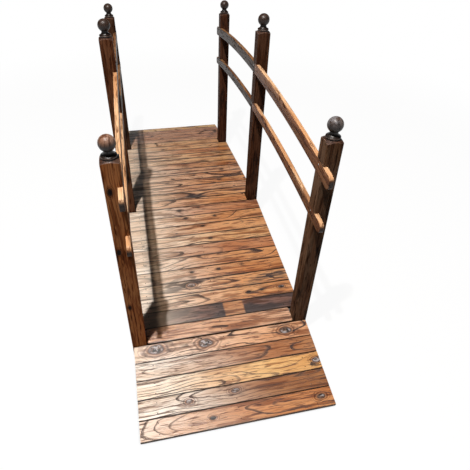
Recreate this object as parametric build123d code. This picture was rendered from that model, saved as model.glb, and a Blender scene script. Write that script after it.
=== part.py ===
from build123d import *
from math import atan2, cos, degrees, hypot, sin, sqrt, tan
import os

os.makedirs("parts", exist_ok=True)

# Deck boards, in millimetres.
deck_width = 800.0
board_gap = 1.5
board_thickness = 18.0
board_arris = 1.2
short_board_clearance = 4.0
short_board_corner = 9.0
ramp_board_count = 5
bay_board_count = 10

# Line of the deck's top, from the outer end of a ramp to the middle of the bridge.
ramp_end_height = 20.0
ramp_run = 390.0
ramp_rise = 69.0
bay_rise = 74.0

# Square posts, turned at the top.
post_width = 61.5
post_arris = 4.0
post_proud = 5.5
post_pitch = 892.75
end_ball_above_deck = 987.0
middle_ball_above_deck = 1035.0
ball_diameter = 56.0
neck_diameter = 29.5
bead_diameter = 54.0
bead_height = 8.0
groove_diameter = 48.0
groove_height = 2.5
bead_below_ball = 39.5
shoulder_height = 9.0

# Arched rails let into the posts; their heights are taken at the middle of the bridge.
upper_rail_above_deck = 830.5
upper_rail_depth = 54.5
lower_rail_above_deck = 624.5
lower_rail_depth = 45.5
rail_rise = 57.0
rail_thickness = 18.0
rail_overhang = 64.0
rail_end_top_radius = 24.0
rail_end_bottom_radius = 20.0
rail_arris = 2.0
rail_clearance = 0.3
rail_joint_gap = 0.6

# Bearers under the boards.
bearer_thickness = 38.0
bearer_depth_at_middle = 90.0
bearer_tip_inset = 40.0
arch_half_span = 800.0

# Positions that follow from the sizes above.
post_outer_x = deck_width / 2 + post_proud
post_inner_x = post_outer_x - post_width
post_face_y = post_pitch + post_width / 2
row_run = post_face_y / (bay_board_count + 1 + 1 / 2)
ridge_half_run = row_run / 2
deck_end_y = post_face_y + ramp_run
ramp_top = ramp_end_height + ramp_rise
ridge_top = ramp_top + bay_rise
bay_run = post_face_y - ridge_half_run
ramp_angle = atan2(ramp_rise, ramp_run)
bay_angle = atan2(bay_rise, bay_run)
arch_rise = ridge_top - board_thickness - bearer_depth_at_middle
rail_radius = (post_pitch**2 + rail_rise**2) / (2 * rail_rise)


def deck_top(y):
    """Height of the deck's top at a distance y from the middle, on a ramp's or bay's straight line."""
    if abs(y) > post_face_y:
        return ramp_end_height + ramp_rise * (deck_end_y - abs(y)) / ramp_run
    return ramp_top + bay_rise * min(post_face_y - abs(y), bay_run) / bay_run


def board(length, width, corner=0):
    """A board lying across, its top on the XY plane, with eased top edges and rounded corners."""
    outline = Rectangle(length, width)
    if corner:
        outline = fillet(outline.vertices(), corner)
    plank = extrude(outline, -board_thickness)
    return chamfer(plank.faces().sort_by(Axis.Z)[-1].edges(), board_arris)


def spread(plank, first, last, index, count):
    """A board laid as the index-th of count boards spread evenly from one end of a line to the other."""
    share = (index + 1 / 2) / count
    y = first[0] + (last[0] - first[0]) * share
    z = first[1] + (last[1] - first[1]) * share
    angle = degrees(atan2(last[1] - first[1], last[0] - first[0]))
    return Location((0, y, z), (angle, 0, 0)) * plank


def line_up(first, bend, angle):
    """A rising line of boards, stopped short of its bend by as much as the boards' lower edges lean over."""
    lean = board_thickness * sin(angle)
    return first, (bend[0] - lean, bend[1] - lean * tan(angle))


def fill(line, count):
    """Width of a board when count boards share a line."""
    return hypot(line[1][0] - line[0][0], line[1][1] - line[0][1]) / count - board_gap


def far(shape):
    """The same piece at the far half of the bridge."""
    return mirror(shape, about=Plane.XZ)


def left(shape):
    """The same piece on the left side of the bridge."""
    return mirror(shape, about=Plane.YZ)


def save(shape, name):
    export_step(shape, "parts/" + name + ".step")


# Boards: each ramp and each bay is a straight line, and the board at the ridge lies level.
short_length = 2 * (post_inner_x - short_board_clearance)
ramp_line = line_up((-deck_end_y, ramp_end_height), (-post_face_y, ramp_top), ramp_angle)
bay_line = line_up((-post_face_y, ramp_top), (-ridge_half_run, ridge_top), bay_angle)
ramp_board = board(deck_width, fill(ramp_line, ramp_board_count))
ramp_set = [spread(ramp_board, *ramp_line, i, ramp_board_count) for i in range(ramp_board_count)]
bay_row_count = bay_board_count + 1
bay_board_width = fill(bay_line, bay_row_count)
bay_board = board(deck_width, bay_board_width)
bay_set = [spread(bay_board, *bay_line, i + 1, bay_row_count) for i in range(bay_board_count)]
post_board = spread(board(short_length, bay_board_width, short_board_corner), *bay_line, 0, bay_row_count)
ridge_board = board(short_length, row_run - board_gap, short_board_corner)
save(Compound(children=ramp_set), "near_ramp_boards")
save(Compound(children=[far(b) for b in ramp_set]), "far_ramp_boards")
for number, plank in enumerate(bay_set, 1):
    save(plank, f"near_bay_board_{number}")
    save(far(plank), f"far_bay_board_{number}")
save(post_board, "near_post_board")
save(far(post_board), "far_post_board")
save(Location((0, 0, ridge_top)) * ridge_board, "middle_post_board")


# Bearers: the top follows the boards' undersides, the bottom is a long arch between two flat feet.
def under_bend(y, z, before, after):
    """The point under a bend of the deck's line where the undersides of the boards meet."""
    mean = (before + after) / 2
    drop = board_thickness / cos((before - after) / 2)
    return (y + drop * sin(mean), z - drop * cos(mean))


post_bend = under_bend(-post_face_y, ramp_top, ramp_angle, bay_angle)
ridge_bend = under_bend(-ridge_half_run, ridge_top, bay_angle, 0)
tip_y = -deck_end_y + bearer_tip_inset
tip_top = deck_top(tip_y) - board_thickness / cos(ramp_angle)
near_top = [(tip_y, 0), (tip_y, tip_top), post_bend, ridge_bend]
far_top = [(-y, z) for y, z in reversed(near_top)]
with BuildSketch(Plane.YZ) as bearer_side:
    with BuildLine():
        Polyline(*near_top, *far_top)
        Line(far_top[-1], (arch_half_span, 0))
        ThreePointArc((arch_half_span, 0), (0, arch_rise), (-arch_half_span, 0))
        Line((-arch_half_span, 0), near_top[0])
    make_face()
bearer = extrude(bearer_side.sketch, bearer_thickness)
right_bearer = Location((post_inner_x - bearer_thickness, 0, 0)) * bearer
save(right_bearer, "right_bearer")
save(left(right_bearer), "left_bearer")
save(Location((-bearer_thickness / 2, 0, 0)) * bearer, "centre_bearer")


# Rails: an arc over the bridge, in two halves that meet in the middle post and end rounded beyond an end post.
def arc_height(y, radius, above_deck):
    """Height at y of an arc about a rail's centre, which lies far below the middle of the bridge."""
    centre_z = deck_top(0) + above_deck - rail_radius
    return centre_z + sqrt(radius**2 - y**2)


def rail_side(above_deck, depth, y_first, y_last, grow=0):
    """Side outline of a rail between two distances along the bridge, grown above and below."""
    stops = (y_first, (y_first + y_last) / 2, y_last)
    top = [(y, arc_height(y, rail_radius + grow, above_deck)) for y in stops]
    bottom = [(y, arc_height(y, rail_radius - depth - grow, above_deck)) for y in reversed(stops)]
    with BuildSketch(Plane.YZ) as side:
        with BuildLine():
            ThreePointArc(*top)
            Line(top[-1], bottom[0])
            ThreePointArc(*bottom)
            Line(bottom[-1], top[0])
        make_face()
    return side.sketch


def rail(above_deck, depth):
    """The near half of the right-hand rail at one height."""
    end_y = -post_face_y - rail_overhang
    outline = rail_side(above_deck, depth, end_y, -rail_joint_gap / 2)
    end_low, end_high = outline.vertices().sort_by(Axis.Y)[:2].sort_by(Axis.Z)
    outline = fillet(end_low, rail_end_bottom_radius)
    end_high = outline.vertices().sort_by_distance(end_high)[0]
    outline = fillet(end_high, rail_end_top_radius)
    bar = extrude(outline, rail_thickness, dir=(1, 0, 0))
    rims = bar.faces().filter_by(Axis.X).edges().filter_by_position(Axis.Y, end_y * 2, -rail_joint_gap)
    bar = chamfer(rims, rail_arris)
    return Location((post_inner_x, 0, 0)) * bar


rail_levels = {
    "upper": (upper_rail_above_deck, upper_rail_depth),
    "lower": (lower_rail_above_deck, lower_rail_depth),
}
for level, (above_deck, depth) in rail_levels.items():
    bar = rail(above_deck, depth)
    save(bar, f"{level}_rail_near_right")
    save(left(bar), f"{level}_rail_near_left")
    save(far(bar), f"{level}_rail_far_right")
    save(far(left(bar)), f"{level}_rail_far_left")


# Posts: a square shaft with eased edges, turned at the top to a shoulder, a bead, a neck and a ball.
def turned_outline(bottom, ball_z):
    """Half outline of the turning, wide enough below the shoulder to leave the shaft square."""
    ball_radius = ball_diameter / 2
    neck_radius = neck_diameter / 2
    bead_radius = bead_diameter / 2
    bead_edge_radius = bead_radius - bead_height / 4
    groove_radius = groove_diameter / 2
    neck_z = ball_z - sqrt(ball_radius**2 - neck_radius**2)
    bead_top = ball_z - bead_below_ball
    bead_bottom = bead_top - bead_height
    groove_bottom = bead_bottom - groove_height
    shoulder_z = groove_bottom - shoulder_height
    cove_bulge = (bead_edge_radius - neck_radius) / 4
    cove_middle = ((neck_radius + bead_edge_radius) / 2 - cove_bulge, (neck_z + bead_top) / 2 - cove_bulge)
    with BuildSketch(Plane.XZ) as half:
        with BuildLine():
            Polyline((0, ball_z + ball_radius), (0, bottom), (post_width, bottom), (post_width, shoulder_z))
            Line((post_width, shoulder_z), (post_width / sqrt(2), shoulder_z))
            Line((post_width / sqrt(2), shoulder_z), (groove_radius, groove_bottom))
            Polyline((groove_radius, groove_bottom), (groove_radius, bead_bottom), (bead_edge_radius, bead_bottom))
            ThreePointArc(
                (bead_edge_radius, bead_bottom),
                (bead_radius, (bead_top + bead_bottom) / 2),
                (bead_edge_radius, bead_top),
            )
            ThreePointArc((bead_edge_radius, bead_top), cove_middle, (neck_radius, neck_z))
            ThreePointArc((neck_radius, neck_z), (ball_radius, ball_z), (0, ball_z + ball_radius))
        make_face()
    return half.sketch


def post(y, bottom, ball_above_deck):
    """A right-hand post at a distance y along the bridge, notched for both rails."""
    ball_z = deck_top(y) + ball_above_deck
    shaft = extrude(Rectangle(post_width, post_width), ball_z + ball_diameter - bottom)
    shaft = fillet(shaft.edges().filter_by(Axis.Z), post_arris)
    shaft = Location((0, 0, bottom)) * shaft
    turned = shaft & revolve(turned_outline(bottom, ball_z), Axis.Z)
    turned = Location((post_outer_x - post_width / 2, y, 0)) * turned
    for above_deck, depth in rail_levels.values():
        housing = rail_side(above_deck, depth, y - post_width, y + post_width, rail_clearance)
        slot = extrude(housing, rail_thickness * 2, dir=(1, 0, 0))
        turned -= Location((post_inner_x - rail_thickness, 0, 0)) * slot
    return turned


end_post = post(-post_pitch, 0, end_ball_above_deck)
middle_post = post(0, arch_rise, middle_ball_above_deck)
save(end_post, "near_right_post")
save(left(end_post), "near_left_post")
save(far(end_post), "far_right_post")
save(far(left(end_post)), "far_left_post")
save(middle_post, "middle_right_post")
save(left(middle_post), "middle_left_post")
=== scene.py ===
import math
import random

import bmesh
import bpy
from mathutils import Euler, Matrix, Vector


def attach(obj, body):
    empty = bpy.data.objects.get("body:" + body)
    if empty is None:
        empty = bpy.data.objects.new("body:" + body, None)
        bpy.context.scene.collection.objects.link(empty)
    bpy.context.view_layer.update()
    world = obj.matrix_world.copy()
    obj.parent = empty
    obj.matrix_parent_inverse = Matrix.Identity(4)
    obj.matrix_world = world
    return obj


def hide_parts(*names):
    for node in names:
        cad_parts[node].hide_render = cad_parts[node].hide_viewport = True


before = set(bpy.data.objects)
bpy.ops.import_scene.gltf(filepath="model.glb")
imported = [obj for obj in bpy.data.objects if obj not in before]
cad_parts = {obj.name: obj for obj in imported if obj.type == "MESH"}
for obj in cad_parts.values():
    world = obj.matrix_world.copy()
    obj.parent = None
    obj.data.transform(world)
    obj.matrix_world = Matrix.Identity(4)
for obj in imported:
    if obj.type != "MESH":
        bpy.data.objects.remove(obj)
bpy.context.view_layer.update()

# Sizes of the bridge, in metres, as in the solids.
DECK_WIDTH = 0.800
BOARD_GAP = 0.0015
BOARD_THICKNESS = 0.018
RAMP_BOARDS = 5
BAY_BOARDS = 10
SHORT_BOARD_CLEARANCE = 0.004
SHORT_BOARD_CORNER = 0.009
RAMP_END_HEIGHT = 0.020
RAMP_RUN = 0.390
RAMP_RISE = 0.069
BAY_RISE = 0.074
POST_WIDTH = 0.0615
POST_ARRIS = 0.004
POST_PROUD = 0.0055
POST_PITCH = 0.89275
END_BALL_ABOVE_DECK = 0.987
MIDDLE_BALL_ABOVE_DECK = 1.035
BALL_RADIUS = 0.028
NECK_RADIUS = 0.01475
BEAD_RADIUS = 0.027
BEAD_HEIGHT = 0.008
GROOVE_RADIUS = 0.024
GROOVE_HEIGHT = 0.0025
BEAD_BELOW_BALL = 0.0395
SHOULDER_HEIGHT = 0.009
UPPER_RAIL_ABOVE_DECK = 0.8305
UPPER_RAIL_DEPTH = 0.0545
LOWER_RAIL_ABOVE_DECK = 0.6245
LOWER_RAIL_DEPTH = 0.0455
RAIL_RISE = 0.057
RAIL_THICKNESS = 0.018
RAIL_OVERHANG = 0.064
RAIL_END_TOP_RADIUS = 0.024
RAIL_END_BOTTOM_RADIUS = 0.020
RAIL_ARRIS = 0.0022
RAIL_CLEARANCE = 0.0003
RAIL_JOINT_GAP = 0.0006
BEARER_THICKNESS = 0.038
BEARER_DEPTH_AT_MIDDLE = 0.090
BEARER_TIP_INSET = 0.040
BEARER_ARRIS = 0.002
ARCH_HALF_SPAN = 0.800

# Small sizes that only the dressed pieces have.
BOARD_EDGE_ROUNDING = 0.0016
BOARD_CUPPING = 0.0004
BOARD_UNEVENNESS = 0.003
SHOULDER_EDGE_DROP = 0.0012
SHOULDER_EDGE_EASE = 0.0016
GROOVE_EDGE_EASE = 0.001
TONE_MARGIN = 0.0001
GROOVE_TONE_REACH = 0.0005
NAIL_OFF_SHARES = (-0.27, 0.27)
NAIL_HEAD = {"Head Radius": 0.0024, "Head Height": 0.0007, "Sunk": 0.0003}
SCREW_HEAD = {"Head Radius": 0.0036, "Head Height": 0.0012, "Sunk": 0.0004}
SCREW_BELOW_TOP = 0.016
END_SCREW_OFF = 0.008
MIDDLE_SCREW_OFF = 0.016

# Positions that follow from the sizes.
POST_OUTER_X = DECK_WIDTH / 2 + POST_PROUD
POST_INNER_X = POST_OUTER_X - POST_WIDTH
POST_X = POST_OUTER_X - POST_WIDTH / 2
POST_FACE_Y = POST_PITCH + POST_WIDTH / 2
ROW_RUN = POST_FACE_Y / (BAY_BOARDS + 1.5)
RIDGE_HALF_RUN = ROW_RUN / 2
DECK_END_Y = POST_FACE_Y + RAMP_RUN
RAMP_TOP = RAMP_END_HEIGHT + RAMP_RISE
RIDGE_TOP = RAMP_TOP + BAY_RISE
BAY_RUN = POST_FACE_Y - RIDGE_HALF_RUN
RAMP_ANGLE = math.atan2(RAMP_RISE, RAMP_RUN)
BAY_ANGLE = math.atan2(BAY_RISE, BAY_RUN)
ARCH_RISE = RIDGE_TOP - BOARD_THICKNESS - BEARER_DEPTH_AT_MIDDLE
SHORT_BOARD_LENGTH = 2 * (POST_INNER_X - SHORT_BOARD_CLEARANCE)
SHOULDER_FALL = SHOULDER_HEIGHT / (POST_WIDTH / math.sqrt(2) - GROOVE_RADIUS)
GROOVE_BELOW_BALL = BEAD_BELOW_BALL + BEAD_HEIGHT + GROOVE_HEIGHT
RAIL_RADIUS = (POST_PITCH ** 2 + RAIL_RISE ** 2) / (2 * RAIL_RISE)
RAIL_LEVELS = {"upper": (UPPER_RAIL_ABOVE_DECK, UPPER_RAIL_DEPTH),
               "lower": (LOWER_RAIL_ABOVE_DECK, LOWER_RAIL_DEPTH)}
NAIL_LINES = (-POST_INNER_X + BEARER_THICKNESS / 2, 0.0, POST_INNER_X - BEARER_THICKNESS / 2)
SCREW_LINES = (-POST_PITCH + END_SCREW_OFF, -MIDDLE_SCREW_OFF,
               MIDDLE_SCREW_OFF, POST_PITCH - END_SCREW_OFF)


def deck_top(y):
    """Height of the deck's top at a distance y from the middle of the bridge."""
    if abs(y) > POST_FACE_Y:
        return RAMP_END_HEIGHT + RAMP_RISE * (DECK_END_Y - abs(y)) / RAMP_RUN
    return RAMP_TOP + BAY_RISE * min(POST_FACE_Y - abs(y), BAY_RUN) / BAY_RUN


# Colours.
def linear(red, green, blue):
    """A colour given as it looks on screen, 0 to 255, turned to the linear values a shader takes."""
    def one(value):
        value /= 255
        return value / 12.92 if value <= 0.04045 else ((value + 0.055) / 1.055) ** 2.4
    return (one(red), one(green), one(blue), 1.0)


def blend(a, b, share):
    """A colour between two others."""
    return tuple(p + (q - p) * share for p, q in zip(a, b))


def step(value, low, high):
    """Smooth step from low to high."""
    share = min(max((value - low) / (high - low), 0.0), 1.0)
    return share * share * (3 - 2 * share)


CHAR = linear(36, 23, 17)
SHEEN = linear(255, 232, 206)
CLEAR_PATCH = linear(206, 152, 110)
DARK_HEART = linear(30, 22, 20)
BROWN_HEART = linear(112, 84, 68)
PALE_KNOT_RING = linear(156, 108, 76)
DARK_KNOT_RING = linear(70, 44, 34)
STRAW = linear(244, 194, 142)
GOLD = linear(255, 208, 142)
TAN = linear(236, 178, 126)
ORANGE = linear(226, 162, 108)
BROWN = linear(194, 136, 92)
RUSSET = linear(214, 154, 112)
PINK = linear(234, 180, 138)
DARK = linear(136, 104, 94)
# Pale colour that the deck boards' left ends are blended towards: a painted sheen of the lamp's highlight.
PAINTED_SHEEN_TONE = linear(255, 248, 236)


# Node trees, written as sums of sockets.
class Graph:
    """Adds nodes to a tree; a value is a number, a tuple or another node's output."""

    def __init__(self, tree):
        self.tree = tree

    def put(self, kind, **settings):
        """A new node with its settings."""
        node = self.tree.nodes.new(kind)
        for name, value in settings.items():
            setattr(node, name, value)
        return node

    def feed(self, socket, value):
        """Links an output to a socket, or sets a value there."""
        if isinstance(value, bpy.types.NodeSocket):
            self.tree.links.new(value, socket)
        elif value is not None:
            socket.default_value = value

    def run(self, kind, values, out=0, **settings):
        """One output of a new node that is fed with values."""
        node = self.put(kind, **settings)
        for key, value in values.items():
            self.feed(node.inputs[key], value)
        return node.outputs[out]

    def math(self, operation, a, b=None, c=None, clamp=False):
        return self.run("ShaderNodeMath", {0: a, 1: b, 2: c}, operation=operation, use_clamp=clamp)

    def plus(self, a, b):
        return self.math("ADD", a, b)

    def minus(self, a, b):
        return self.math("SUBTRACT", a, b)

    def times(self, a, b, clamp=False):
        return self.math("MULTIPLY", a, b, clamp=clamp)

    def over(self, a, b):
        return self.math("DIVIDE", a, b)

    def scaled(self, value, factor, more, clamp=False):
        """The value times a factor, and more."""
        return self.math("MULTIPLY_ADD", value, factor, more, clamp)

    def least(self, value, floor_value):
        """The value, or floor_value where that is larger."""
        return self.math("MAXIMUM", value, floor_value)

    def length(self, a, b):
        """Length of a line that goes a one way and b square to it."""
        return self.math("SQRT", self.plus(self.times(a, a), self.times(b, b)))

    def vector(self, operation, a, b=None):
        return self.run("ShaderNodeVectorMath", {0: a, 1: b}, operation=operation)

    def join(self, x, y, z):
        return self.run("ShaderNodeCombineXYZ", {0: x, 1: y, 2: z})

    def split(self, vector):
        node = self.put("ShaderNodeSeparateXYZ")
        self.feed(node.inputs[0], vector)
        return node.outputs[0], node.outputs[1], node.outputs[2]

    def noise(self, vector, scale=1.0, detail=2.0, out="Fac", rough=0.5):
        values = {"Vector": vector, "Scale": scale, "Detail": detail, "Roughness": rough}
        return self.run("ShaderNodeTexNoise", values, out)

    def spread(self, value, low, high, to_low=0.0, to_high=1.0):
        """Smooth step from low to high."""
        values = {"Value": value, "From Min": low, "From Max": high, "To Min": to_low, "To Max": to_high}
        return self.run("ShaderNodeMapRange", values, interpolation_type="SMOOTHSTEP")

    def mix(self, share, a, b, blend_type="MIX"):
        node = self.put("ShaderNodeMix", data_type="RGBA", blend_type=blend_type)
        for index, value in ((0, share), (6, a), (7, b)):
            self.feed(node.inputs[index], value)
        return node.outputs[2]

    def darken(self, colour, share, factor):
        """The colour, with a share of it multiplied by a factor for red, green and blue."""
        return self.mix(share, colour, self.mix(1.0, colour, (*factor, 1.0), "MULTIPLY"))


def named_tree(name, kind, inputs, outputs):
    """An empty node tree with named sockets, listed by kind: its graph, its inputs and its outputs."""
    tree = bpy.data.node_groups.new(name, kind)
    for side, sockets in (("INPUT", inputs), ("OUTPUT", outputs)):
        for socket_kind, labels in sockets.items():
            for label in labels:
                tree.interface.new_socket(label, in_out=side, socket_type="NodeSocket" + socket_kind)
    given = tree.nodes.new("NodeGroupInput").outputs
    taken = tree.nodes.new("NodeGroupOutput").inputs
    return Graph(tree), given, taken


# Timber finishes. Patterns are given in waves a metre: along the grain, across it and into the piece.
KNOT_INPUTS = ("Knot A", "Knot B", "Knot C")
GRAIN_INPUTS = ("Grain", "Pith") + KNOT_INPUTS
RING_INPUTS = ("Seed", "Ring Width", "Wander")
RING_OUTPUTS = ("Late Wood", "Ring Shade", "Knot Reach", "Knot Size")
FINISH_OUTPUTS = {"Color": ("Color",), "Float": ("Roughness", "Height")}
SEED_STEPS = (13.7, 7.1, 1.0)
SLOW_WAVES = (2.6, 8.0, 8.0)
RAGGED_WAVES = (22.0, 36.0, 36.0)
FINE_WAVES = (7.0, 60.0, 60.0)
PITH_DRIFT = 0.088
RING_WAVINESS = 0.0040
KNOT_SQUASH = 0.58
SMALLEST_KNOT = 0.00001
KNOT_EDGE = 1.5


def growth_rings():
    """Ring lines of a sawn board: rings round a pith that wanders, flowing past knots."""
    g, given, taken = named_tree("growth_rings", "ShaderNodeTree",
                                 {"Vector": GRAIN_INPUTS, "Float": RING_INPUTS}, {"Float": RING_OUTPUTS})
    grain, seed = given["Grain"], given["Seed"]
    along, across, deep = g.split(grain)
    pith_across, pith_depth, pith_tilt = g.split(given["Pith"])
    shift = g.vector("MULTIPLY", g.join(seed, seed, seed), SEED_STEPS)

    def own_noise(waves, **settings):
        return g.noise(g.vector("ADD", g.vector("MULTIPLY", grain, waves), shift), **settings)

    slow_a, slow_b, slow_c = g.split(own_noise(SLOW_WAVES, detail=1.0, out="Color"))
    ragged = own_noise(RAGGED_WAVES)
    fine = own_noise(FINE_WAVES)

    # The grain is pushed aside by each knot; the nearest knot is passed on.
    flowed, nearest, at_hand = across, None, None
    for label in KNOT_INPUTS:
        at_along, at_across, size = g.split(given[label])
        off_along = g.times(g.minus(along, at_along), KNOT_SQUASH)
        off_across = g.minus(across, at_across)
        reach = g.over(g.length(off_along, off_across), g.least(size, SMALLEST_KNOT))
        reach = g.times(reach, g.scaled(ragged, 0.9, 0.55))
        push = g.over(off_across, g.least(g.times(reach, reach), 1.0))
        flowed = g.minus(flowed, push)
        nearest = reach if nearest is None else g.math("MINIMUM", nearest, reach)
        inside = g.times(g.math("LESS_THAN", reach, KNOT_EDGE), size)
        at_hand = inside if at_hand is None else g.math("MAXIMUM", at_hand, inside)

    # Distance from the pith, counted in rings.
    drift = g.times(given["Wander"], PITH_DRIFT)
    side = g.minus(flowed, g.scaled(g.minus(slow_a, 0.5), drift, pith_across))
    depth = g.scaled(along, pith_tilt, pith_depth)
    depth = g.scaled(g.minus(slow_b, 0.5), drift, depth)
    radius = g.length(side, g.plus(depth, deep))
    radius = g.scaled(g.minus(fine, 0.5), RING_WAVINESS, radius)
    rings = g.over(radius, given["Ring Width"])
    number = g.math("FLOOR", rings)
    part = g.minus(rings, number)
    label = g.scaled(seed, 31.7, number)
    chance, chance_b = (g.run("ShaderNodeTexWhiteNoise", {"W": draw}, noise_dimensions="1D")
                        for draw in (label, g.plus(label, 0.37)))

    # Each ring ends in a dark line of its own width and strength.
    start = g.scaled(chance, 0.24, 0.62)
    late = g.times(g.spread(part, start, g.plus(start, 0.18)), g.spread(part, 1.0, 0.94))
    late = g.times(late, g.scaled(chance_b, 0.75, 0.25))
    late = g.times(late, g.spread(slow_c, 0.34, 0.56, 0.60, 1.0))
    for label, value in zip(RING_OUTPUTS, (late, chance, nearest, at_hand)):
        g.feed(taken[label], value)
    return g.tree


# Waves along and across the grain, detail and roughness of each noise in the wood.
FLECKS = {
    "cloud": (4.0, 16.0, 3.0, 0.5),
    "streak": (11.0, 120.0, 3.0, 0.6),
    "pores": (10.0, 300.0, 2.0, 0.55),
    "fibre": (22.0, 800.0, 2.0, 0.6),
    "burn": (5.0, 26.0, 4.0, 0.6),
}
FLECK_STEPS = (0.10, 0.53, 0.29)
BAND_WAVES_ALONG = 5.0
BAND_SCALE = 62.0
BLOTCH_WAVES = (60.0, 96.0, 96.0)
KNOT_RIPPLES = 12.0
SMALL_KNOT, LARGE_KNOT = 0.009, 0.014
SHADES = {
    "cloud": (0.84, 0.70, 0.58),
    "band": (0.42, 0.29, 0.21),
    "ring": (0.76, 0.62, 0.50),
    "dash": (0.26, 0.18, 0.14),
    "pores": (0.40, 0.30, 0.24),
    "fibre": (0.66, 0.58, 0.50),
    "halo": (0.32, 0.23, 0.19),
}


def scorched_timber(rings_tree):
    """Colour, roughness and relief of brushed, scorched and oiled softwood."""
    g, given, taken = named_tree(
        "scorched_timber", "ShaderNodeTree",
        {"Vector": GRAIN_INPUTS, "Float": RING_INPUTS + ("Scorch", "Line Strength", "Dullness", "Band Scale"),
         "Color": ("Tone", "Line Colour", "Scorch Colour", "Knot Colour")}, FINISH_OUTPUTS)
    group = g.put("ShaderNodeGroup", node_tree=rings_tree)
    for label in GRAIN_INPUTS + RING_INPUTS:
        g.feed(group.inputs[label], given[label])
    late, shade, reach, size = (group.outputs[label] for label in RING_OUTPUTS)
    seed, band_scale = given["Seed"], given["Band Scale"]
    moved = g.vector("ADD", given["Grain"], g.vector("MULTIPLY", g.join(seed, seed, seed), FLECK_STEPS))

    def own_noise(waves, **settings):
        return g.noise(g.vector("MULTIPLY", moved, waves), **settings)

    fleck = {label: own_noise((along, across, across), detail=detail, rough=rough)
             for label, (along, across, detail, rough) in FLECKS.items()}
    band = own_noise(g.join(BAND_WAVES_ALONG, band_scale, band_scale))
    pale_blotch, brown_blotch = g.split(own_noise(BLOTCH_WAVES, detail=2.5, out="Color"))[:2]

    # The tone is darkened by layers, from broad clouds to single fibres, and then lined and scorched.
    dashes = g.spread(fleck["streak"], 0.57, 0.63, 0.0, 0.90)
    layers = {
        "cloud": g.spread(fleck["cloud"], 0.38, 0.66),
        "band": g.spread(band, 0.54, 0.61, 0.0, 0.85),
        "ring": g.times(shade, 0.40),
        "dash": dashes,
        "pores": g.spread(fleck["pores"], 0.54, 0.66, 0.0, 0.80),
        "fibre": g.spread(fleck["fibre"], 0.46, 0.72, 0.0, 0.50),
    }
    colour = given["Tone"]
    for label, share in layers.items():
        colour = g.darken(colour, share, SHADES[label])
    lines = g.times(late, given["Line Strength"], clamp=True)
    colour = g.mix(lines, colour, given["Line Colour"])
    scorch_low = g.minus(0.86, g.times(given["Scorch"], 0.62))
    burnt = g.scaled(fleck["streak"], 0.24, g.times(fleck["burn"], 0.84))
    scorch = g.spread(burnt, scorch_low, g.plus(scorch_low, 0.13))
    colour = g.mix(g.times(scorch, 0.88), colour, given["Scorch Colour"])

    # Knots: a rippled halo round them, rings inside, and a heart that is mottled in large knots.
    ripple = g.scaled(g.math("SINE", g.times(reach, KNOT_RIPPLES)), 0.5, 0.5)
    colour = g.darken(colour, g.times(g.spread(reach, 2.3, 1.0), ripple), SHADES["halo"])
    large = g.spread(size, SMALL_KNOT, LARGE_KNOT)
    heart = g.mix(g.times(g.spread(brown_blotch, 0.44, 0.54), large), DARK_HEART, BROWN_HEART)
    heart = g.mix(g.times(g.spread(pale_blotch, 0.48, 0.56), large), heart, given["Knot Colour"])
    knot = g.mix(ripple, PALE_KNOT_RING, DARK_KNOT_RING)
    knot = g.mix(g.math("MAXIMUM", g.spread(reach, 0.75, 0.45), g.minus(0.8, large)), knot, heart)
    g.feed(taken["Color"], g.mix(g.spread(reach, 1.05, 0.85), colour, knot))

    # The brushed face is smooth along the grain; dark lines and scorch are duller.
    rough = g.scaled(fleck["fibre"], 0.06, given["Dullness"])
    rough = g.scaled(g.math("MAXIMUM", lines, dashes), 0.40, rough)
    g.feed(taken["Roughness"], g.scaled(scorch, 0.08, rough, clamp=True))
    height = g.times(late, 0.30)
    height = g.scaled(fleck["fibre"], 0.80, height)
    height = g.scaled(fleck["streak"], 0.30, height)
    g.feed(taken["Height"], g.scaled(g.spread(reach, 1.2, 0.8), -0.3, height))
    return g.tree


TIMBER = scorched_timber(growth_rings())


def surface(name, tree):
    """A new material with a finish group in it: the material, its graph, its shader and the group."""
    material = bpy.data.materials.new(name)
    material.use_nodes = True
    g = Graph(material.node_tree)
    return material, g, material.node_tree.nodes["Principled BSDF"], g.put("ShaderNodeGroup", node_tree=tree)


def dress_shader(g, shader, group, colour, strength, relief):
    """Links a colour and a finish group's roughness and relief to the shader; returns the bump."""
    bump = g.put("ShaderNodeBump")
    bump.inputs["Strength"].default_value = strength
    bump.inputs["Distance"].default_value = relief
    g.feed(bump.inputs["Height"], group.outputs["Height"])
    g.feed(shader.inputs["Base Color"], colour)
    g.feed(shader.inputs["Roughness"], group.outputs["Roughness"])
    g.feed(shader.inputs["Normal"], bump.outputs["Normal"])
    return bump


def edge_char_and_gap_shade(reach):
    """Share of darkening on a board's face, whose long edges are burnt darker and carry painted shade of the
    gaps between boards, as far in as reach.
    """
    half_width = (ROW_RUN - BOARD_GAP) / 2

    def share(g, across):
        return g.spread(g.math("ABSOLUTE", across), half_width - reach, half_width - 0.2 * reach, 0.0, 0.94)
    return share


# Deck boards: their tone runs from a paler left tone, a painted sheen, to the plain right tone between
# BOARD_TONE_ENDS, and a pale sheen colour is painted over their left ends between SHEEN_ENDS.
BOARD_TONE_ENDS = (-0.38, 0.20)
SHEEN_ENDS = (-0.04, -0.36)
CLEAR_EDGE = 0.006
TIMBER_BUMP_FILTER = 0.01


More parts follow.
